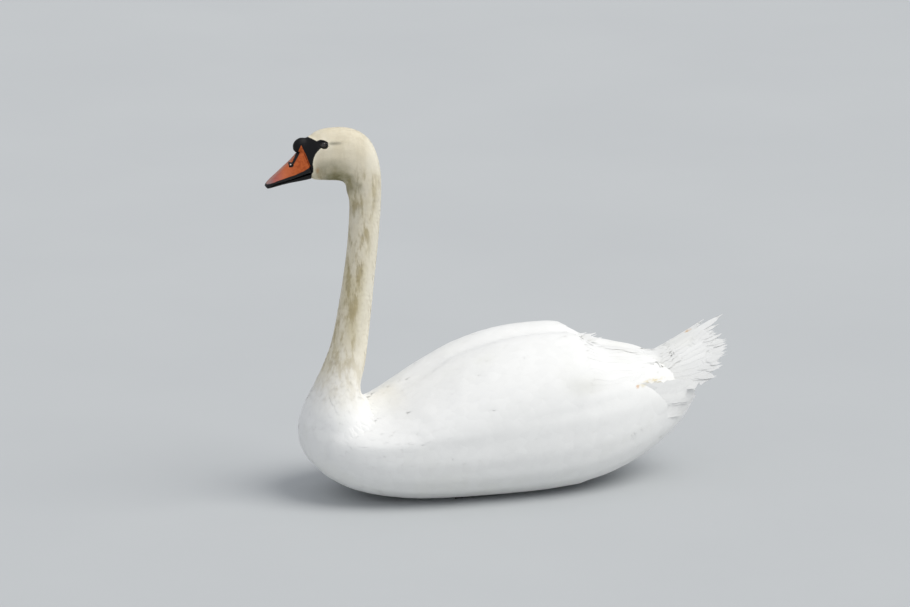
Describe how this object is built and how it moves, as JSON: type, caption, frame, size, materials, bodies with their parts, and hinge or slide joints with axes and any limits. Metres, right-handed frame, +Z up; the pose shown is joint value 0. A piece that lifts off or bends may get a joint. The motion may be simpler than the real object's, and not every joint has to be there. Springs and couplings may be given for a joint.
{
  "type": "mute swan model",
  "caption": "Life-size still model of a swimming mute swan, neck upright, wings folded and tail raised, resting on its flat belly.",
  "frame": {"origin": "on the floor, under the middle of the whole bird from bill tip to tail tips", "axes": "+Z up, the bird faces -Y, its left side is +X, and X = 0 is its plane of symmetry"},
  "size_m": [0.3066, 0.8002, 0.6416],
  "materials": {
    "plumage": "soft white feathers",
    "neck_plumage": "short feathers stained cream and ochre",
    "bill": "orange horn, satin",
    "black_skin": "black bare skin and horn, satin",
    "eye": "dark brown, wet gloss",
    "leg_skin": "dark grey scaly skin"
  },
  "bodies": {
    "root": {"trunk": "plumage", "neck_lower": "plumage", "neck_upper": "neck_plumage", "head": "neck_plumage", "wing_left": "plumage", "wing_right": "plumage", "tail": "plumage", "bill_upper": "bill", "bill_nail": "black_skin", "bill_knob": "black_skin", "bill_lower": "black_skin", "eye_left": "eye", "eye_right": "eye", "leg_left": "leg_skin", "leg_right": "leg_skin"}
  },
  "joints": []
}
